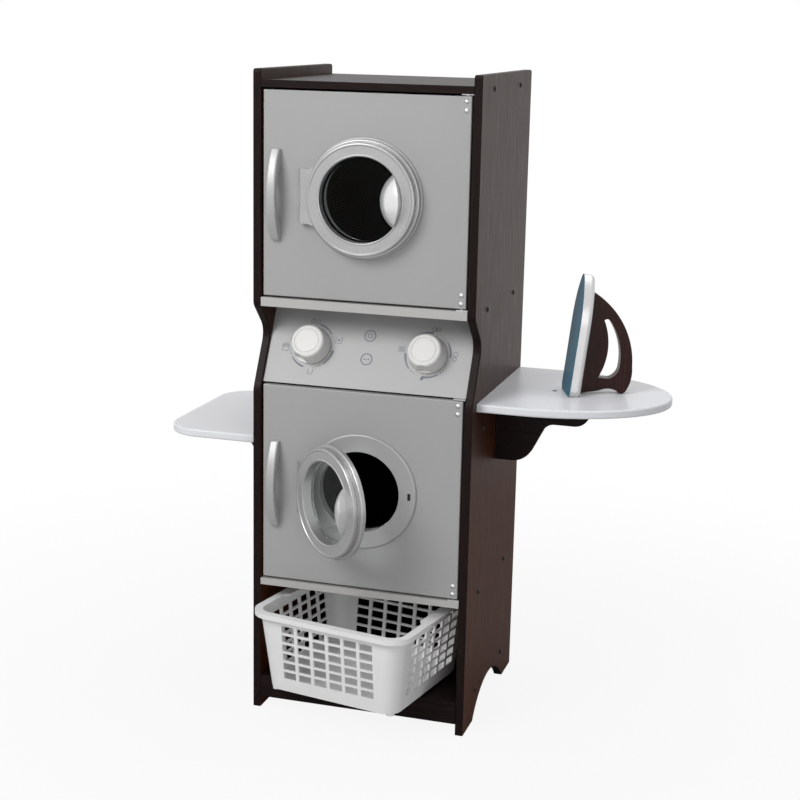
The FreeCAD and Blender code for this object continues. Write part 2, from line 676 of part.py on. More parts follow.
def porthole_ring(name, placement):
    body = new_body(f"{name}_porthole_ring")
    section = new_sketch(body, "section", "XZ_Plane")
    shoulder = f"({RIM_RADIUS} - rim_width / 6)"
    brim = f"({shoulder} - rim_groove / 3)"
    flat = f"({RIM_RADIUS} - rim_width / 3)"
    outline(section, [
        ("window_radius - pane_ledge * 2", "0"), (f"{RIM_RADIUS} - rim_chamfer", "0"),
        (RIM_RADIUS, "rim_chamfer"), (RIM_RADIUS, "flange_depth - rim_bead", "rim_bead * 1.25", "left"),
        (f"{RIM_RADIUS} - rim_bead", "flange_depth"), (shoulder, "flange_depth"),
        (shoulder, "flange_depth + 2 * rim_groove"),
        (f"{shoulder} - rim_groove", "flange_depth + 2 * rim_groove"),
        (f"{shoulder} - rim_groove", "flange_depth + 3 * rim_groove"),
        (brim, "flange_depth + 3 * rim_groove"),
        (brim, "rim_depth - rim_bead", "rim_bead * 1.1", "left"), (f"{brim} - rim_bead", "rim_depth"),
        (flat, "rim_depth"), (f"{flat} - rim_chamfer", "rim_depth - rim_chamfer"),
        ("window_radius + 2 * rim_groove", "rim_depth - rim_chamfer"),
        ("window_radius + rim_groove", "rim_depth"),
        ("window_radius", "rim_depth - rim_chamfer"), ("window_radius", "pane_ledge"),
        ("window_radius - pane_ledge * 2", "pane_ledge")])
    revolve(body, section)
    tab = new_sketch(body, "tab", "XY_Plane")
    flare = "(rim_width / 2)"
    flare_top = f"sqrt({flare} * (2 * {RIM_RADIUS} - {flare}))"
    outline(tab, [
        (f"-{TAB_LEFT}", "-tab_half"), (f"-{RIM_RADIUS}", "-tab_half", f"{flare} * 1.2", "right"),
        (f"-{RIM_RADIUS} + {flare}", f"-{flare_top}"),
        (f"-{RIM_RADIUS} + {flare}", flare_top, f"{flare} * 1.2", "right"),
        (f"-{RIM_RADIUS}", "tab_half"), (f"-{TAB_LEFT}", "tab_half")])
    pad(body, tab, "2 * barrel_radius")
    round_edges(body, "barrel", "barrel_radius * 0.98", lambda edge: (
        runs_along(edge, 1) and near(edge.CenterOfMass.x, f"-{TAB_LEFT}")))
    bore = new_sketch(body, "bore", "XZ_Plane")
    circle(bore, f"-{AXIS_X}", "barrel_radius", "pin_radius + running_fit")
    pocket(body, bore)
    clear, half = "(knuckle_radius + rest_gap)", "(knuckle_height / 2 + rest_gap)"
    for name_of_cut, right, depth in (("knuckle_room", f"-{AXIS_X} + {clear}", f"barrel_radius + {clear}"),
                                      ("knuckle_way", f"-{AXIS_X} - {clear} / 4", "3 * barrel_radius")):
        room = new_sketch(body, name_of_cut, "XY_Plane")
        rectangle(room, f"-{TAB_LEFT} - barrel_radius", f"-{half}", right, half)
        pocket(body, room, depth, reverse=True)
    latch = new_sketch(body, "latch", "XY_Plane")
    rectangle(latch, f"{LATCH_X} - latch_width / 2", "-latch_height / 2",
              f"{LATCH_X} + latch_width / 2", "latch_height / 2")
    pad(body, latch, "latch_reach", reverse=True)
    body.Placement = placement
    return body


def porthole_pane(name, placement):
    pane = doc.addObject("Part::Cylinder", f"{name}_porthole_pane")
    pane.Label = f"{name}_porthole_pane"
    pane.setExpression("Radius", bound("window_radius - running_fit"))
    pane.setExpression("Height", bound("pane_board"))
    ledge = FreeCAD.Vector(0, 0, number("pane_ledge"))
    pane.Placement = placement * FreeCAD.Placement(ledge, FreeCAD.Rotation())
    return pane


def porthole_grip(name, placement):
    """A dome that grows out of the ring's inner wall on the side away from the hinge."""
    bulge = doc.addObject("Part::Ellipsoid", f"{name}_grip_bulge")
    bulge.setExpression("Radius1", bound("grip_rise"))
    bulge.setExpression("Radius2", bound("grip_radius"))
    bulge.setExpression("Radius3", bound("grip_radius"))
    bulge.Angle1 = 0
    bulge.setExpression("Placement.Base.x", bound("window_radius + grip_offset"))
    well = doc.addObject("Part::Cylinder", f"{name}_grip_well")
    well.setExpression("Radius", bound("window_radius - running_fit"))
    well.setExpression("Height", bound("2 * grip_rise"))
    grip = doc.addObject("Part::Common", f"{name}_porthole_grip")
    grip.Label = f"{name}_porthole_grip"
    grip.Base = bulge
    grip.Tool = well
    seat = FreeCAD.Vector(0, 0, number("pane_ledge + pane_board"))
    grip.Placement = placement * FreeCAD.Placement(seat, FreeCAD.Rotation())
    return grip


def porthole_pin(name, middle):
    pin = doc.addObject("Part::Cylinder", f"{name}_porthole_pin")
    pin.Label = f"{name}_porthole_pin"
    pin.setExpression("Radius", bound("pin_radius"))
    pin.setExpression("Height", bound("2 * tab_half"))
    return place(pin, f"-{AXIS_X}", f"door_recess - {RING_LIFT} - barrel_radius", f"{middle} - tab_half")


for appliance, low, high, opening in (("dryer", DRYER_FLOOR, ROOF_LOW, "0"),
                                      ("washer", WASHER_FLOOR, PANEL_LOW, "washer_opening")):
    middle = f"(({low} + {high}) / 2)"
    door_board(appliance, low, high)
    door_handle(appliance, middle)
    porthole_frame(appliance, middle)
    hinge_screws(appliance, low, high)
    strike_plate(appliance, middle)
    door_pivots(appliance, low, high)
    door_catch(appliance, middle)
    porthole_pin(appliance, middle)
    swung = ring_placement(middle, number(opening))
    porthole_ring(appliance, swung)
    porthole_pane(appliance, swung)
    porthole_grip(appliance, swung)


# Knobs with ringed tops, on spindles through the control panel
def on_panel(x, along):
    """A placement on the control panel's face, z out of the panel."""
    tilt = number("panel_tilt")
    rise = number(along)
    point = FreeCAD.Vector(number(x), number("panel_setback"), number(PANEL_LOW))
    slope = FreeCAD.Vector(0, math.sin(math.radians(tilt)), math.cos(math.radians(tilt)))
    shift = FreeCAD.Vector(number(MIDDLE_X), number(MIDDLE_Y), 0)
    return FreeCAD.Placement(point + slope * rise - shift, TILTED)


def knob(side, x, facing):
    """A ringed cone with a thumb scoop cut down one side, at an angle round the panel's normal."""
    body = new_body(f"{side}_knob")
    section = new_sketch(body, "section", "XZ_Plane")
    bore = "(spindle_radius + running_fit)"
    outline(section, [
        ("0", "rest_gap + spindle_socket"), (bore, "rest_gap + spindle_socket"), (bore, "rest_gap"),
        ("knob_radius", "rest_gap"), ("knob_radius", "knob_skirt"),
        ("knob_top_radius + knob_edge * 0.4", "knob_height - knob_edge * 0.9", "knob_edge", "left"),
        ("knob_top_radius - knob_edge * 0.4", "knob_height"), ("knob_top_radius - knob_edge", "knob_height"),
        ("knob_top_radius - knob_edge - knob_groove", "knob_height - knob_groove"),
        ("knob_top_radius - knob_edge - 3 * knob_groove", "knob_height - knob_groove"),
        ("knob_top_radius - knob_edge - 4 * knob_groove", "knob_height"), ("0", "knob_height")])
    revolve(body, section)
    scoop = new_sketch(body, "scoop", "XY_Plane", "knob_skirt")
    circle(scoop, f"knob_scoop_reach * cos({facing})", f"knob_scoop_reach * sin({facing})", "knob_scoop")
    pocket(body, scoop, "knob_height", reverse=True)
    body.Placement = on_panel(x, "dial_rise")
    return body


def spindle(side, x):
    body = new_body(f"{side}_spindle")
    section = new_sketch(body, "section", "XZ_Plane")
    behind = "-panel_board - rest_gap"
    outline(section, [
        ("0", f"{behind} - collar_board"), ("collar_radius", f"{behind} - collar_board"),
        ("collar_radius", behind), ("spindle_radius", behind),
        ("spindle_radius", "rest_gap + spindle_socket"), ("0", "rest_gap + spindle_socket")])
    revolve(body, section)
    body.Placement = on_panel(x, "dial_rise")
    return body


for side, x, facing in (("left", f"-{DIAL_X}", "245"), ("right", DIAL_X, "270")):
    knob(side, x, facing)
    spindle(side, x)


# Lattice basket, drawn forward and turned a little
def lattice(body, hole, along):
    """Repeat a hole in columns along one axis and in rows up the wall."""
    grid = body.newObject("PartDesign::MultiTransform", f"{hole.Name}_grid")
    grid.Originals = [hole]
    patterns = []
    steps = ((along, "basket_hole_pitch", BASKET_COLUMNS), ("Z_Axis", "basket_row_pitch", BASKET_ROWS))
    for axis, pitch, count in steps:
        pattern = doc.addObject("PartDesign::LinearPattern", f"{hole.Name}_{axis}")
        pattern.Direction = (next(item for item in body.Origin.OriginFeatures if item.Role == axis), [""])
        pattern.setExpression("Length", bound(f"{pitch} * {count - 1}"))
        pattern.Occurrences = count
        patterns.append(pattern)
    grid.Transformations = patterns
    body.Tip = grid
    doc.recompute()
    return grid


def basket():
    body = new_body("basket")
    wall_top = f"({BASKET_HALF} - basket_lip)"
    wall_low = f"({wall_top} - basket_draft)"
    rim_low = "(basket_height - basket_rim)"

    def square(name, half, corner, lift):
        """A square with round corners, centred on the body."""
        flat = f"({half} - ({corner}))"
        sketch = new_sketch(body, name, "XY_Plane", lift)
        return outline(sketch, [
            (f"-{flat}", f"-{half}"), (flat, f"-{half}", corner, "left"),
            (half, f"-{flat}"), (half, flat, corner, "left"),
            (flat, half), (f"-{flat}", half, corner, "left"),
            (f"-{half}", flat), (f"-{half}", f"-{flat}", corner, "left")])

    def loft(kind, name, low, high):
        feature = body.newObject(kind, f"basket_{name}")
        feature.Profile = low
        feature.Sections = [high]
        feature.Ruled = True
        doc.recompute()
        return feature

    loft("PartDesign::AdditiveLoft", "shell", square("foot", wall_low, "basket_corner", "0"),
         square("shoulder", wall_top, "basket_corner", rim_low))
    pad(body, square("rim", BASKET_HALF, "basket_corner + basket_lip", rim_low), "basket_rim")
    before = body.Shape.Volume
    thin, bend = "basket_wall", "basket_corner - basket_wall"
    cavity = loft("PartDesign::SubtractiveLoft", "cavity",
                  square("inside_low", f"({wall_low} - {thin})", bend, thin),
                  square("inside_high", f"({wall_top} - {thin})", bend, "basket_height"))
    if cavity.Shape.Volume > before / 2:
        raise RuntimeError("the basket is not hollow")
    for role, along in (("XZ_Plane", "X_Axis"), ("YZ_Plane", "Y_Axis")):
        hole = new_sketch(body, f"hole_{role[:2]}", role)
        first = f"-{(BASKET_COLUMNS - 1) / 2} * basket_hole_pitch"
        rectangle(hole, f"{first} - basket_hole_wide / 2", "basket_row_start - basket_hole_tall / 2",
                  f"{first} + basket_hole_wide / 2", "basket_row_start + basket_hole_tall / 2")
        lattice(body, pocket(body, hole), along)
    lips = new_sketch(body, "lips", "XY_Plane", "basket_height")
    lip_start, lip_end = f"({wall_top} - {thin} - basket_handle_lip)", f"({wall_top} + basket_lip / 2)"
    grasp = "basket_handle / 2"
    ramp = "basket_handle_lip * 2.5"
    for way in ("", "-"):
        outline(lips, [
            (f"{way}{lip_end}", f"-{grasp} - {ramp}"), (f"{way}{lip_start}", f"-{grasp}"),
            (f"{way}{lip_start}", grasp), (f"{way}{lip_end}", f"{grasp} + {ramp}")])
    pad(body, lips, "basket_wall", reverse=True)
    grooves = new_sketch(body, "grooves", "XY_Plane", rim_low)
    for way in ("", "-"):
        outline(grooves, [
            (f"{way}{wall_top}", f"-{grasp}"), (f"{way}({BASKET_HALF} + basket_lip)", f"-{grasp}"),
            (f"{way}({BASKET_HALF} + basket_lip)", grasp), (f"{way}{wall_top}", grasp)])
    pocket(body, grooves, "basket_rim - basket_wall", reverse=True)
    feet = new_sketch(body, "feet", "XY_Plane")
    foot = f"({wall_low} - basket_corner / 2)"
    for x in ("-", ""):
        for y in ("-", ""):
            circle(feet, f"{x}{foot}", f"{y}{foot}", "basket_foot * 1.6")
    pad(body, feet, "basket_foot", reverse=True)
    return place(body, "0", "basket_forward", f"{FLOOR_TOP} + basket_foot",
                 FreeCAD.Rotation(UPRIGHT, -number("basket_yaw")))


basket()

# Iron standing on its heel: x from sole to handle, z from heel to tip
LEAN = FreeCAD.Rotation(FreeCAD.Vector(0, 1, 0), number("iron_lean"))
IRON_TURN = FreeCAD.Rotation(UPRIGHT, number("iron_yaw")) * LEAN


def place_iron(body):
    return place(body, "cabinet_width / 2 + iron_out", "ironing_front + iron_back",
                 "ironing_level + running_fit", IRON_TURN)


def sole_layer(label, start, thick, roundover=None):
    """A layer of the iron's pointed sole, cut level with the table at the heel."""
    body = new_body(label)
    half = "(iron_width / 2)"
    sole = new_sketch(body, "sole", "YZ_Plane", start)
    rise = "(iron_point - iron_shoulder)"
    bow = f"({half} * {half} + {rise} * {rise}) / iron_width"
    outline(sole, [(f"-{half}", "0"), (half, "0"), (half, "iron_shoulder", bow, "left"),
                   ("0", "iron_point", bow, "left"), (f"-{half}", "iron_shoulder")])
    pad(body, sole, thick)

    def across_at(y, z):
        return lambda edge: (runs_along(edge, 0) and near(abs(edge.CenterOfMass.y), y)
                             and near(edge.CenterOfMass.z, z))
    round_edges(body, "tip", "iron_tip", across_at("0", "iron_point"))
    round_edges(body, "heel", "iron_width / 7", across_at(half, "0"))
    if roundover:
        back = f"{start} + {thick}"
        round_edges(body, "roundover", roundover, lambda edge: (
            near(edge.BoundBox.XMin, back) and near(edge.BoundBox.XMax, back)))
    heel = new_sketch(body, "level", "XZ_Plane")
    deep = "(iron_plate + iron_board + 1)"
    outline(heel, [("0", "0"), (deep, f"{deep} * tan(iron_lean)"), (deep, "-1"), ("0", "-1")])
    pocket(body, heel)
    return body


def iron():
    place_iron(sole_layer("iron_sole_plate", "0", "iron_plate"))
    place_iron(sole_layer("iron_sole_board", "iron_plate", "iron_board", "iron_round"))
    body = new_body("iron_handle")
    side = new_sketch(body, "side", "XZ_Plane")
    root = "(iron_plate + iron_board)"
    out = f"({root} + iron_handle_rise)"
    nose = f"({out} - iron_grip_bar * 0.65)"
    back = "(iron_handle_length * 0.81)"
    outline(side, [
        (root, f"{root} * tan(iron_lean) + iron_heel_gap"),
        (f"{root} + iron_handle_rise * 0.41", "iron_thumb_rise * 0.8", "iron_thumb_rise * 2.1", "right"),
        (f"{out} - iron_grip_bar", "iron_thumb_rise"),
        (nose, f"{nose} * tan(iron_lean) + iron_heel_gap", "iron_grip_bar / 2", "left"),
        (f"{out} - iron_grip_bar / 5", "iron_thumb_rise * 1.15", "iron_nose_height * 1.2", "left"),
        (out, "iron_nose_height", back, "left"), (root, "iron_handle_length")])
    outline(side, [
        (f"{root} + iron_handle_rise * 0.35", "iron_grip_low"),
        (f"{root} + iron_handle_rise * 0.54", "iron_grip_low", "iron_grip_bar", "left"),
        (f"{out} - iron_grip_bar", "iron_nose_height", "iron_grip_bar * 5", "left"),
        (f"{root} + iron_handle_rise * 0.42", "iron_grip_high", "iron_grip_bar * 0.3", "left"),
        (f"{root} + iron_handle_rise * 0.3", "iron_grip_high", "iron_grip_bar * 5", "right")])
    pad(body, side, "iron_handle_board", symmetric=True)
    round_edges(body, "back", "iron_handle_round", lambda edge: (
        edge.Curve.TypeId == "Part::GeomCircle" and near(edge.Curve.Radius, back)))
    place_iron(body)


iron()


# Check every object, then write each sub-part
doc.recompute()
for item in doc.Objects:
    if "Invalid" in item.State or "Error" in item.State:
        raise RuntimeError(f"{item.Label} failed: {item.State}")
commons = [item for item in doc.Objects if item.TypeId == "Part::Common"]
used_inside = {operand.Name for item in commons for operand in (item.Base, item.Tool)}
PART_TYPES = ("PartDesign::Body", "Part::Box", "Part::Cylinder", "Part::Common", "Part::Feature")
sub_parts = [item for item in doc.Objects if item.TypeId in PART_TYPES and item.Name not in used_inside]
for item in sub_parts:
    if item.Shape.isNull() or not item.Shape.isValid():
        raise RuntimeError(f"{item.Label} has no valid shape")
os.makedirs("parts", exist_ok=True)
for item in sub_parts:
    item.Shape.exportStep(f"parts/{item.Label}.step")
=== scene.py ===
import json
import math

import bmesh
import bpy
from mathutils import Matrix, Vector


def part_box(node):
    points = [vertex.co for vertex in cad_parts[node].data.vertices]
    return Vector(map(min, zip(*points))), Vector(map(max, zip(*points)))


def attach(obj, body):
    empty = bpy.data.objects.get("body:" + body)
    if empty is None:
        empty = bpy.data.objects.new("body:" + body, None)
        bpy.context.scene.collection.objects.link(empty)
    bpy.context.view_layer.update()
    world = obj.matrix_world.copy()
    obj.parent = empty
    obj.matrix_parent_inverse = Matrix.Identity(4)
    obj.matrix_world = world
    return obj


# Toy laundry station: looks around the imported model. Metres, +Z up, front towards -Y.

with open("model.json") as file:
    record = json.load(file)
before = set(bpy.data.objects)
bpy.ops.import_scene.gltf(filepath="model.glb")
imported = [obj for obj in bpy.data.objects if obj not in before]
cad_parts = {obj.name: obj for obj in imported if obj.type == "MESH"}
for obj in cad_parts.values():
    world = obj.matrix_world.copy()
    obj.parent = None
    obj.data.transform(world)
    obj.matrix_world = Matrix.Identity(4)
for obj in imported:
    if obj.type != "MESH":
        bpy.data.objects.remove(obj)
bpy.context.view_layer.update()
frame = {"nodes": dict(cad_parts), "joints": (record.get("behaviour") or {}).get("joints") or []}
nodes = frame["nodes"]
joints = {joint["name"]: joint for joint in frame["joints"]}

MM = 0.001

# Camera, fitted to the photograph's perspective
CAMERA_AT = Vector((684.9, -2339.2, 1078.7)) * MM
CAMERA_AZIMUTH = math.radians(16.74)
CAMERA_ELEVATION = math.radians(13.33)
CAMERA_ROLL = math.radians(1.20)
FOCAL_PIXELS = 1621.7
FRAME_PIXELS = 800
SENSOR = 36.0


def make_camera():
    data = bpy.data.cameras.new("camera")
    camera = bpy.data.objects.new("camera", data)
    bpy.context.scene.collection.objects.link(camera)
    data.sensor_width = SENSOR
    data.lens = FOCAL_PIXELS * SENSOR / FRAME_PIXELS
    level = math.cos(CAMERA_ELEVATION)
    back = Vector((math.sin(CAMERA_AZIMUTH) * level, -math.cos(CAMERA_AZIMUTH) * level,
                   math.sin(CAMERA_ELEVATION)))
    right = Vector((math.cos(CAMERA_AZIMUTH), math.sin(CAMERA_AZIMUTH), 0))
    up = back.cross(right)
    rolled_right = math.cos(CAMERA_ROLL) * right + math.sin(CAMERA_ROLL) * up
    rolled_up = math.cos(CAMERA_ROLL) * up - math.sin(CAMERA_ROLL) * right
    turn = Matrix((rolled_right, rolled_up, back)).transposed().to_4x4()
    camera.matrix_world = Matrix.Translation(CAMERA_AT) @ turn
    bpy.context.scene.camera = camera


make_camera()


# Most of a noise's values lie between these
NOISE_LOW = 0.3
NOISE_HIGH = 0.7


# Node helpers for the materials
class Surface:
    """A material with short ways to add procedural detail in the part's own coordinates."""

    def __init__(self, name):
        self.material = bpy.data.materials.new(name)
        self.material.use_nodes = True
        self.tree = self.material.node_tree
        self.shader = self.tree.nodes["Principled BSDF"]
        self.place = self.add("ShaderNodeTexCoord").outputs["Object"]
        self.normal = None

    def add(self, kind, **values):
        node = self.tree.nodes.new(kind)
        for key, value in values.items():
            setattr(node, key, value)
        return node

    def link(self, start, end):
        self.tree.links.new(start, end)

    def set(self, **values):
        """Plain values on the shader's own sockets."""
        for key, value in values.items():
            self.shader.inputs[key.replace("_", " ")].default_value = value
        return self

    def stretched(self, scale):
        mapping = self.add("ShaderNodeMapping")
        mapping.inputs["Scale"].default_value = scale
        self.link(self.place, mapping.inputs["Vector"])
        return mapping.outputs["Vector"]

    def noise(self, scale, detail=4.0, rough=0.55, stretch=(1, 1, 1)):
        node = self.add("ShaderNodeTexNoise")
        node.inputs["Scale"].default_value = scale
        node.inputs["Detail"].default_value = detail
        node.inputs["Roughness"].default_value = rough
        self.link(self.stretched(stretch), node.inputs["Vector"])
        return node.outputs["Fac"]

    def ramp(self, source, *stops):
        node = self.add("ShaderNodeValToRGB")
        elements = node.color_ramp.elements
        while len(elements) < len(stops):
            elements.new(0.5)
        for element, (position, colour) in zip(elements, stops):
            element.position = position
            element.color = (*colour, 1)
        self.link(source, node.inputs["Fac"])
        return node.outputs["Color"]

    def tones(self, source, low, high):
        """Two colours over the middle of a noise's range."""
        return self.ramp(source, (NOISE_LOW, low), (NOISE_HIGH, high))

    def span(self, source, low, high):
        """Two values over the middle of a noise's range."""
        node = self.add("ShaderNodeMapRange")
        node.inputs["From Min"].default_value = NOISE_LOW
        node.inputs["From Max"].default_value = NOISE_HIGH
        node.inputs["To Min"].default_value = low
        node.inputs["To Max"].default_value = high
        self.link(source, node.inputs["Value"])
        return node.outputs["Result"]

    def mix(self, share, first, second, kind="MIX"):
        node = self.add("ShaderNodeMix", data_type="RGBA", blend_type=kind)
        if isinstance(share, float):
            node.inputs["Factor"].default_value = share
        else:
            self.link(share, node.inputs["Factor"])
        self.link(first, node.inputs["A"])
        self.link(second, node.inputs["B"])
        return node.outputs["Result"]

    def facing_x(self, start=0.8, full=0.98):
        """1 on faces that look along X, 0 on the edges round them."""
        split = self.add("ShaderNodeSeparateXYZ")
        size = self.add("ShaderNodeMath", operation="ABSOLUTE")
        share = self.add("ShaderNodeMapRange")
        share.inputs["From Min"].default_value = start
        share.inputs["From Max"].default_value = full
        self.link(self.add("ShaderNodeNewGeometry").outputs["True Normal"], split.inputs[0])
        self.link(split.outputs["X"], size.inputs[0])
        self.link(size.outputs[0], share.inputs["Value"])
        return share.outputs["Result"]

    def below(self, low, high):
        """1 at heights under low, fading to 0 at high."""
        split = self.add("ShaderNodeSeparateXYZ")
        share = self.add("ShaderNodeMapRange")
        share.inputs["From Min"].default_value = high
        share.inputs["From Max"].default_value = low
        self.link(self.place, split.inputs[0])
        self.link(split.outputs["Z"], share.inputs["Value"])
        return share.outputs["Result"]

    def colour(self, source):
        self.link(source, self.shader.inputs["Base Color"])
        return self

    def rough(self, source, low, high):
        self.link(self.span(source, low, high), self.shader.inputs["Roughness"])
        return self

    def bump(self, source, depth, strength=1.0):
        node = self.add("ShaderNodeBump")
        node.inputs["Distance"].default_value = depth
        node.inputs["Strength"].default_value = strength
        self.link(source, node.inputs["Height"])
        if self.normal:
            self.link(self.normal, node.inputs["Normal"])
        self.normal = node.outputs["Normal"]
        self.link(self.normal, self.shader.inputs["Normal"])
        return self

    def soft_edges(self, radius):
        node = self.add("ShaderNodeBevel", samples=4)
        node.inputs["Radius"].default_value = radius
        self.normal = node.outputs["Normal"]
        self.link(self.normal, self.shader.inputs["Normal"])
        return self


# Noise scales per metre, and how far patterns are drawn out along the grain or the brushing
PORES = 900
GRAIN_LINES = 420
GRAIN_BANDS = 160
GRAIN_DRAW = 0.035
PAINT_SPECKLE = 2600
PAINT_CLOUD = 5
PAINT_WAVE = 420
MOULD_GRAIN = 1500
MOULD_CLOUD = 18
PANE_SMEAR = 14
SOLE_CLOUD = 12
BRUSH_LINES = 1800
BRUSH_DRAW = 0.05


def grey(value):
    return (value, value, value)


def drawn_out(along, share):
    """Noise factors that draw a pattern out along one axis."""
    stretch = [1.0, 1.0, 1.0]
    stretch[along] = share
    return stretch


def wood(name, along, stain, specular, rough, veneer_with_painted_foot=None):
    """Dark stained board under satin lacquer, with pores along the grain; its X faces may be veneered, the
    veneer given a redder, lighter foot below set heights as painted light.
    """
    surface = Surface(name)
    surface.soft_edges(0.8 * MM)
    stretch = drawn_out(along, GRAIN_DRAW)
    pores = surface.noise(PORES, 3, 0.6, stretch)
    lines = surface.noise(GRAIN_LINES, 3, 0.6, stretch)
    bands = surface.noise(GRAIN_BANDS, 4, 0.5, stretch)
    tone = surface.tones(bands, *stain)
    if veneer_with_painted_foot:
        # Painted light: the foot colour below the set heights stands in for the sheen that only the upper
        # part catches
        upper, foot = (surface.tones(bands, *pair) for pair in veneer_with_painted_foot)
        face = surface.mix(surface.below(*PAINTED_LIGHT_HEIGHTS), upper, foot)
        tone = surface.mix(surface.facing_x(), tone, face)
    streak = surface.ramp(pores, (0.38, grey(0.55)), (0.62, grey(1.25)))
    surface.colour(surface.mix(1.0, tone, streak, "MULTIPLY"))
    surface.rough(lines, *rough)
    surface.bump(lines, 0.3 * MM, 0.3)
    surface.bump(pores, 0.25 * MM, 0.5)
    return surface.set(Specular_IOR_Level=specular).material


def painted_board(name, low, high, metal=0.0, sheen_rough=(0.42, 0.5)):
    """Sprayed board: fine speckle in the paint, a faint cloud over the whole face."""
    surface = Surface(name)
    surface.soft_edges(0.7 * MM)
    speckle = surface.noise(PAINT_SPECKLE, 2, 0.6)
    cloud = surface.noise(PAINT_CLOUD, 2, 0.5)
    flake = surface.ramp(speckle, (0.35, low), (0.65, high))
    tone = surface.tones(cloud, grey(0.965), grey(1.0))
    surface.colour(surface.mix(1.0, flake, tone, "MULTIPLY"))
    surface.rough(speckle, *sheen_rough)
    surface.bump(surface.noise(PAINT_WAVE, 3, 0.5), 0.03 * MM, 0.4)
    return surface.set(Metallic=metal, Specular_IOR_Level=0.4).material


def moulded(name, low, high, rough, metal=0.0, specular=0.5):
    """Moulded plastic: a slight grain and soft unevenness of gloss."""
    surface = Surface(name)
    surface.soft_edges(0.5 * MM)
    fine = surface.noise(MOULD_GRAIN, 2, 0.5)
    cloud = surface.noise(MOULD_CLOUD, 3, 0.5)
    surface.colour(surface.tones(cloud, low, high))
    surface.rough(fine, *rough)
    surface.bump(fine, 0.02 * MM, 0.35)
    return surface.set(Metallic=metal, Specular_IOR_Level=specular).material


def clear_pane():
    """Thin clear plastic, slightly smeared."""
    surface = Surface("clear_pane")
    smear = surface.noise(PANE_SMEAR, 3, 0.5)
    surface.colour(surface.tones(smear, (0.84, 0.88, 0.87), (0.9, 0.93, 0.92)))
    surface.rough(smear, 0.02, 0.06)
    return surface.set(Transmission_Weight=1.0, IOR=1.12).material


def gloss_sole():
    """Blue sole plate with only a weak mirror image."""
    surface = Surface("gloss_sole")
    surface.soft_edges(0.4 * MM)
    cloud = surface.noise(SOLE_CLOUD, 3, 0.5)
    surface.colour(surface.tones(cloud, (0.058, 0.165, 0.24), (0.066, 0.182, 0.265)))
    surface.rough(cloud, 0.1, 0.16)
    return surface.set(IOR=1.03).material


def brushed(name, tone, along):
    """Bare metal with fine lines along one axis."""
    surface = Surface(name)
    lines = surface.noise(BRUSH_LINES, 3, 0.6, drawn_out(along, BRUSH_DRAW))
    surface.colour(surface.tones(lines, grey(tone * 0.8), grey(tone)))
    surface.rough(lines, 0.25, 0.42)
    return surface.set(Metallic=1.0).material


# Axes along which a grain or brushing runs
X = 0
Z = 2
ESPRESSO = ((0.0085, 0.0042, 0.0042), (0.015, 0.0074, 0.0068))
REDDISH = ((0.022, 0.006, 0.0055), (0.036, 0.0105, 0.009))
# The side panels' veneer, upper and foot, and the heights between which it turns warmer; the redder,
# lighter foot is painted light, standing in for the grey sheen that falls only above the ironing table
VENEER_AND_PAINTED_FOOT = (
    ((0.03, 0.0098, 0.0055), (0.039, 0.0125, 0.007)),
    ((0.062, 0.0165, 0.0055), (0.078, 0.021, 0.007)),
)
PAINTED_LIGHT_HEIGHTS = (0.36, 0.5)
SATIN = (0.34, 0.48)
PLATED = 0.62
upright_wood = wood("espresso_upright", Z, ESPRESSO, 0.1, SATIN, VENEER_AND_PAINTED_FOOT)
level_wood = wood("espresso_level", X, ESPRESSO, 0.1, SATIN)
silver_paint = painted_board("silver_paint", grey(0.37), grey(0.42), 0.1)
iron_silver = moulded("iron_silver", grey(0.6), grey(0.66), (0.26, 0.34), 0.6)
strip_paint = painted_board("strip_paint", (0.47, 0.465, 0.455), (0.52, 0.515, 0.505), 0.15)
panel_paint = painted_board("panel_paint", grey(0.36), grey(0.4), 0.1)
table_paint = painted_board("table_paint", (0.79, 0.8, 0.83), (0.83, 0.84, 0.87), 0.0, (0.3, 0.38))
silver_plastic = moulded("silver_plastic", grey(0.41), grey(0.46), (0.26, 0.34), 0.6)
handle_silver = moulded("handle_silver", grey(0.42), grey(0.47), (0.36, 0.44), 0.25)
grip_plastic = moulded("grip_plastic", grey(0.76), grey(0.81), (0.2, 0.26), 0.55)
frame_plastic = moulded("frame_plastic", grey(0.38), grey(0.42), (0.34, 0.42), 0.2)
white_plastic = moulded("white_plastic", grey(0.83), grey(0.87), (0.34, 0.44))
knob_plastic = moulded("knob_plastic", (0.66, 0.655, 0.645), (0.7, 0.695, 0.685), (0.3, 0.38))
black_bolt = moulded("black_bolt", grey(0.006), grey(0.01), (0.28, 0.4), specular=0.2)
# Black plastic of the catches, also used as painted shade in the latch slots
black_plastic_and_shade = moulded("black_plastic_and_shade", grey(0.02), grey(0.03), (0.45, 0.55))
handle_wood = wood("espresso_handle", Z, REDDISH, 0.15, (0.26, 0.34))
steel = brushed("plated_steel", PLATED, X)
pin_steel = brushed("pin_steel", PLATED, Z)
pane_clear = clear_pane()
sole_gloss = gloss_sole()
print_ink = moulded("print_ink", (0.155, 0.165, 0.2), (0.185, 0.195, 0.235), (0.5, 0.6))

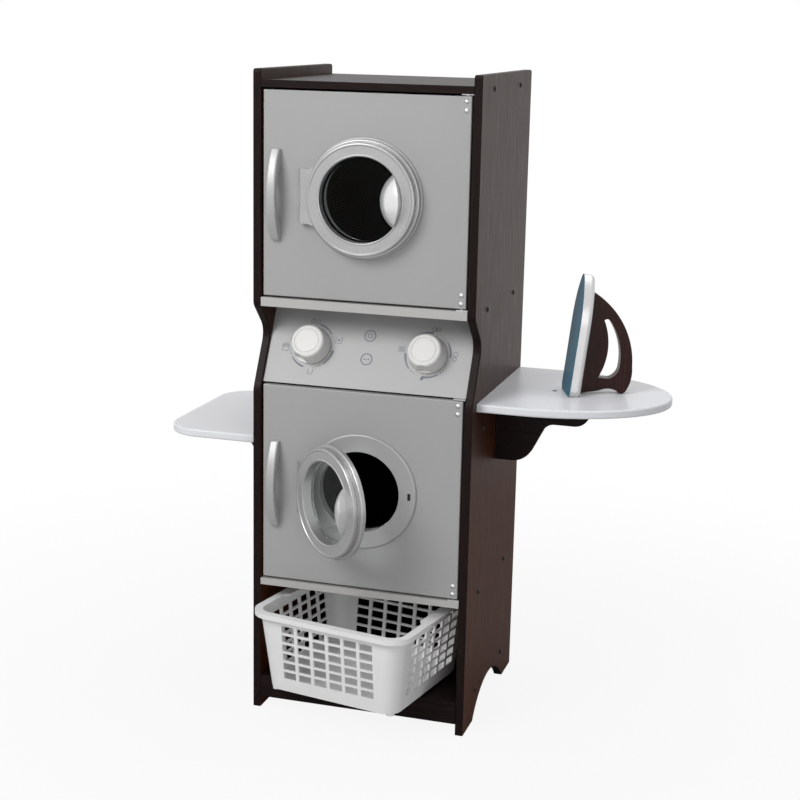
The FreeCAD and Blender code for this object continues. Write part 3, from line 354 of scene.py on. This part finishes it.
LOOKS = {
    upright_wood: ("side_panel_left", "side_panel_right", "back_panel"),
    level_wood: ("roof", "mid_board", "basket_shelf", "front_rail", "ironing_bracket", "folding_bracket"),
    handle_wood: ("iron_handle",),
    silver_paint: ("dryer_door", "washer_door"),
    iron_silver: ("iron_sole_board",),
    strip_paint: ("dryer_shelf", "washer_shelf"),
    panel_paint: ("control_panel",),
    table_paint: ("ironing_table", "folding_table"),
    silver_plastic: ("dryer_porthole_ring", "washer_porthole_ring"),
    handle_silver: ("dryer_handle", "washer_handle"),
    grip_plastic: ("dryer_porthole_grip", "washer_porthole_grip"),
    frame_plastic: ("dryer_porthole_frame", "washer_porthole_frame"),
    white_plastic: ("basket",),
    knob_plastic: ("left_knob", "right_knob"),
    pane_clear: ("dryer_porthole_pane", "washer_porthole_pane"),
    black_bolt: ("cabinet_bolts",),
    black_plastic_and_shade: ("dryer_catch", "washer_catch"),
    steel: ("dryer_hinge_screws", "washer_hinge_screws", "dryer_pivots", "washer_pivots", "dryer_strike",
            "washer_strike", "left_spindle", "right_spindle"),
    pin_steel: ("dryer_porthole_pin", "washer_porthole_pin"),
    sole_gloss: ("iron_sole_plate",),
}
for look, names in LOOKS.items():
    for node_name in names:
        materials = nodes[node_name].data.materials
        materials.clear()
        materials.append(look)


# Helpers for the scene's own thin pieces
SQUARE = ((-1, -1), (1, -1), (1, 1), (-1, 1))


def circle(sides):
    """Points of a unit circle."""
    angles = [2 * math.pi * side / sides for side in range(sides)]
    return [(math.cos(angle), math.sin(angle)) for angle in angles]


def join_rims(mesh, rims, closed=False):
    """Faces from each rim of vertices to the next, with both ends filled unless they meet."""
    pairs = list(zip(rims, rims[1:]))
    if closed:
        pairs.append((rims[-1], rims[0]))
    for first, second in pairs:
        for corner in range(len(first)):
            following = (corner + 1) % len(first)
            mesh.faces.new((first[corner], first[following], second[following], second[corner]))
    if not closed:
        mesh.faces.new(rims[0][::-1])
        mesh.faces.new(rims[-1])


def add_piece(name, mesh, look, body):
    """Turns a finished mesh into a piece that rides on a body."""
    bmesh.ops.recalc_face_normals(mesh, faces=mesh.faces)
    data = bpy.data.meshes.new(name)
    mesh.to_mesh(data)
    mesh.free()
    data.materials.append(look)
    piece = bpy.data.objects.new(name, data)
    bpy.context.scene.collection.objects.link(piece)
    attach(piece, body)


# Printed marks on the control panel, thin raised ink on its slope, in millimetres and degrees
INK = 0.12
NORMAL = Vector(joints["left_knob_turn"]["axis"]).normalized()
RIGHT = Vector((1, 0, 0))
UP = NORMAL.cross(RIGHT)
LEFT_DIAL = Vector(joints["left_knob_turn"]["pos_m"])
RIGHT_DIAL = Vector(joints["right_knob_turn"]["pos_m"])
ARC_STEP = 4
DOT_SIDES = 16


class Print:
    """Ink strokes round a point of the panel, gathered into one piece."""

    def __init__(self, centre):
        self.centre = centre
        self.mesh = bmesh.new()

    def spot(self, x, y, lift):
        return self.mesh.verts.new(self.centre + (RIGHT * x + UP * y + NORMAL * lift) * MM)

    def strip(self, line, width, closed=False):
        """A ribbon of ink along (x, y) points; a pair of widths changes from start to end."""
        start_width, end_width = width if isinstance(width, tuple) else (width, width)
        rims = []
        last = len(line) - 1
        for index, (x, y) in enumerate(line):
            before = line[index - 1] if closed or index else line[index]
            after = line[(index + 1) % len(line)] if closed or index < last else line[index]
            way = Vector((after[0] - before[0], after[1] - before[1])).normalized()
            half = (start_width + (end_width - start_width) * index / last) / 2
            side = Vector((-way.y, way.x)) * half
            rims.append([self.spot(x + side.x * turn, y + side.y * turn, lift)
                         for turn, lift in ((1, 0), (1, INK), (-1, INK), (-1, 0))])
        join_rims(self.mesh, rims, closed)

    def arc(self, radius, start, end, width):
        steps = max(3, round(abs(end - start) / ARC_STEP))
        angles = [math.radians(start + (end - start) * step / steps) for step in range(steps + 1)]
        self.strip([(radius * math.cos(angle), radius * math.sin(angle)) for angle in angles], width)

    def ring(self, x, y, radius, width, sides=32):
        self.strip([(x + radius * across, y + radius * up) for across, up in circle(sides)],
                   width, closed=True)

    def dot(self, x, y, radius):
        """A ring so wide that its hole closes."""
        self.ring(x, y, radius / 2, radius, DOT_SIDES)

    def box(self, x, y, half, width):
        """An open tub, narrower at its foot."""
        foot = half * 0.8
        self.strip([(x - half, y + half), (x - foot, y - half), (x + foot, y - half), (x + half, y + half)],
                   width)

    def waves(self, x, y, half, width):
        """Three zigzag lines, one above the other."""
        gap = half * 0.6
        swing = half * 0.2
        for row in (-1, 0, 1):
            self.strip([(x + half * step / 4, y + row * gap + swing * (-1) ** step)
                        for step in range(-4, 5)], width)

    def finish(self, name):
        add_piece(name, self.mesh, print_ink, "cabinet")


# Each dial's settings: a tapering arc, then dashes as (sweep, width)
DIAL_RADIUS = 35
ARC_SWEEP = 42
ARC_WIDTHS = (3.4, 1.8)
DASH_START = 48
DASH_STEP = 9
DASHES = ((5, 1.4), (4, 1.1), (3, 0.8))
FINE = 1.0


def dial(centre, starts, way):
    """The settings of one dial, each running from its start the same way round."""
    ink = Print(centre)
    for start in starts:
        ink.arc(DIAL_RADIUS, start, start + way * ARC_SWEEP, ARC_WIDTHS)
        for number, (sweep, width) in enumerate(DASHES):
            dash = start + way * (DASH_START + DASH_STEP * number)
            ink.arc(DIAL_RADIUS, dash, dash + way * sweep, width)
    return ink


left_dial = dial(LEFT_DIAL, (77, -9, -104, 171), -1)
left_dial.box(-42, -6, 5.2, FINE)
left_dial.waves(-42, -2, 4, FINE * 0.7)
left_dial.ring(-4.5, 39, 3, FINE)
left_dial.ring(3.7, 38.7, 3, FINE)
left_dial.box(41, 12, 5.2, FINE)
left_dial.dot(41, 12, 1.8)
left_dial.box(3.8, -41, 4, FINE)
left_dial.finish("left_dial_marks")

right_dial = dial(RIGHT_DIAL, (-2, -98, 180, 84), 1)
right_dial.waves(-42, 6, 5, FINE)
right_dial.ring(4, 40.5, 3, FINE)
right_dial.ring(10, 40.5, 3, FINE)
right_dial.dot(7, 40.5, 1.2)
right_dial.ring(42.5, 4.4, 3.4, FINE)
right_dial.ring(41.4, -3.2, 3, FINE)
right_dial.dot(-4.3, -37.5, 2.6)
right_dial.finish("right_dial_marks")

# Two button marks between the dials
BUTTON_X = -2.4
BUTTON_RADIUS = 8.6
BUTTON_WIDTH = 1.7
BUTTON_SIDES = 48
UPPER_BUTTON = 22.5
LOWER_BUTTON = -14.5
middle = Print((LEFT_DIAL + RIGHT_DIAL) / 2)
for rise in (UPPER_BUTTON, LOWER_BUTTON):
    middle.ring(BUTTON_X, rise, BUTTON_RADIUS, BUTTON_WIDTH, BUTTON_SIDES)
middle.ring(BUTTON_X, UPPER_BUTTON, 3.4, 0.9)
for shift in (-3.2, 3.2):
    middle.dot(BUTTON_X + shift, LOWER_BUTTON, 1.3)
middle.dot(BUTTON_X, LOWER_BUTTON, 0.7)
middle.finish("middle_marks")


# Painted shade: dark cups in the latch slots of the porthole frames, standing in for the shade inside the
# slots
SLOT_REACH = 78.93 * MM
SLOT_HALF = (2.4 * MM, 5.4 * MM)
SLOT_DEPTH = 3.7 * MM
SHADE_CUP_WALL = 0.4 * MM


def slot_shade_cup(name):
    """An open dark cup against the slot's walls, with room for the latch; painted shade for the slot's
    inside.
    """
    low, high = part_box(f"{name}_door")
    centre = Vector(((low[0] + high[0]) / 2 + SLOT_REACH, low[1], (low[2] + high[2]) / 2))
    mesh = bmesh.new()
    rims = []
    for inset, depth in ((0, 0), (0, SLOT_DEPTH), (SHADE_CUP_WALL, SLOT_DEPTH), (SHADE_CUP_WALL, SHADE_CUP_WALL)):
        half_x, half_z = SLOT_HALF[0] - inset, SLOT_HALF[1] - inset
        rims.append([mesh.verts.new(centre + Vector((x * half_x, -depth, z * half_z))) for x, z in SQUARE])
    join_rims(mesh, rims)
    add_piece(f"{name}_slot_shade_cup", mesh, black_plastic_and_shade, f"{name}_door_body")


for appliance in ("dryer", "washer"):
    slot_shade_cup(appliance)


# Flat nails that hold the back panel to each level board
NAIL_PROFILE = ((2.6 * MM, 0.0), (2.5 * MM, 0.15 * MM), (1.6 * MM, 0.3 * MM))
NAIL_SIDES = 16
NAIL_SHARES = (0.06, 0.36, 0.64, 0.94)
NAILED = ("roof", "dryer_shelf", "mid_board", "washer_shelf", "basket_shelf")


def nail(mesh, at):
    """One low round head, its foot closed against the panel."""
    rims = []
    for radius, rise in NAIL_PROFILE:
        rims.append([mesh.verts.new(at + Vector((radius * across, rise, radius * up)))
                     for across, up in circle(NAIL_SIDES)])
    join_rims(mesh, rims)


def back_nails():
    """A row of nails at each nailed board's height, spread over shares of the panel's width."""
    low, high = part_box("back_panel")
    mesh = bmesh.new()
    for name in NAILED:
        shelf_low, shelf_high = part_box(name)
        level = (max(shelf_low[2], low[2]) + min(shelf_high[2], high[2])) / 2
        for share in NAIL_SHARES:
            nail(mesh, Vector((low[0] + share * (high[0] - low[0]), high[1], level)))
    add_piece("back_nails", mesh, steel, "cabinet")


back_nails()


# Stage and light
FLOOR_HALF = 200
FLOOR_Z = -0.5 * MM
FLOOR_GREY = 0.6
AMBIENT = 0.32
# The white floor's share by distance from the part: near, far, and what is left of it near
CAMERA_FADE = (0.3, 1.6, 0.9)
GLOSS_FADE = (1.4, 2.6, 0.0)
# Soft lamps: name, place, target, width and height, watts
LAMPS = (
    ("key", (-1.1, -2.05, 2.15), (0, 0, 0.6), (1.3, 1.3), 43),
    ("fill", (1.6, -2.7, 0.9), (0, 0, 0.55), (1.6, 1.6), 11),
    ("top", (0.4, 0.3, 3.0), (0, 0, 0.5), (2.0, 2.0), 22),
)


def larger(tree, first, second):
    node = tree.nodes.new("ShaderNodeMath")
    node.operation = "MAXIMUM"
    tree.links.new(first, node.inputs[0])
    tree.links.new(second, node.inputs[1])
    return node.outputs[0]


def faded(tree, share, distance, near, far, least):
    """A share that rises from least of itself at the near distance to the whole at the far one."""
    fade = tree.nodes.new("ShaderNodeMapRange")
    fade.interpolation_type = "SMOOTHSTEP"
    fade.inputs["From Min"].default_value = near
    fade.inputs["From Max"].default_value = far
    fade.inputs["To Min"].default_value = least
    node = tree.nodes.new("ShaderNodeMath")
    node.operation = "MULTIPLY"
    tree.links.new(distance, fade.inputs["Value"])
    tree.links.new(share, node.inputs[0])
    tree.links.new(fade.outputs["Result"], node.inputs[1])
    return node.outputs[0]


def make_floor():
    """White to the camera further off, with the shadow kept near the part and in its reflections."""
    data = bpy.data.meshes.new("floor")
    corners = [(x * FLOOR_HALF, y * FLOOR_HALF, FLOOR_Z) for x, y in SQUARE]
    data.from_pydata(corners, [], [(0, 1, 2, 3)])
    floor = bpy.data.objects.new("floor", data)
    bpy.context.scene.collection.objects.link(floor)
    material = bpy.data.materials.new("floor_white")
    material.use_nodes = True
    tree = material.node_tree
    tree.nodes.clear()
    output = tree.nodes.new("ShaderNodeOutputMaterial")
    diffuse = tree.nodes.new("ShaderNodeBsdfDiffuse")
    diffuse.inputs["Color"].default_value = (*grey(FLOOR_GREY), 1)
    glow = tree.nodes.new("ShaderNodeEmission")
    blend = tree.nodes.new("ShaderNodeMixShader")
    length = tree.nodes.new("ShaderNodeVectorMath")
    length.operation = "LENGTH"
    tree.links.new(tree.nodes.new("ShaderNodeTexCoord").outputs["Object"], length.inputs[0])
    distance = length.outputs["Value"]
    path = tree.nodes.new("ShaderNodeLightPath").outputs
    seen = larger(tree, path["Is Camera Ray"], path["Is Transmission Ray"])
    share = larger(tree, faded(tree, seen, distance, *CAMERA_FADE),
                   faded(tree, path["Is Glossy Ray"], distance, *GLOSS_FADE))
    tree.links.new(share, blend.inputs["Fac"])
    tree.links.new(diffuse.outputs[0], blend.inputs[1])
    tree.links.new(glow.outputs[0], blend.inputs[2])
    tree.links.new(blend.outputs[0], output.inputs["Surface"])
    floor.data.materials.append(material)


def make_world():
    """White where it is seen or mirrored, and a dimmer even light on the surfaces."""
    world = bpy.data.worlds.new("studio")
    bpy.context.scene.world = world
    world.use_nodes = True
    tree = world.node_tree
    background = tree.nodes["Background"]
    strength = tree.nodes.new("ShaderNodeMapRange")
    strength.inputs["To Min"].default_value = AMBIENT
    strength.inputs["To Max"].default_value = 1.0
    path = tree.nodes.new("ShaderNodeLightPath").outputs
    seen = larger(tree, path["Is Camera Ray"], path["Is Transmission Ray"])
    seen = larger(tree, seen, path["Is Glossy Ray"])
    tree.links.new(seen, strength.inputs["Value"])
    tree.links.new(strength.outputs["Result"], background.inputs["Strength"])
    background.inputs["Color"].default_value = (1, 1, 1, 1)


def softbox(name, at, target, size, power):
    data = bpy.data.lights.new(name, "AREA")
    data.shape = "RECTANGLE"
    data.size, data.size_y = size
    data.energy = power
    lamp = bpy.data.objects.new(name, data)
    bpy.context.scene.collection.objects.link(lamp)
    lamp.location = at
    lamp.rotation_mode = "QUATERNION"
    lamp.rotation_quaternion = (Vector(target) - Vector(at)).to_track_quat("-Z", "Y")


make_floor()
make_world()
for lamp_values in LAMPS:
    softbox(*lamp_values)
bpy.context.scene.view_settings.view_transform = "Standard"
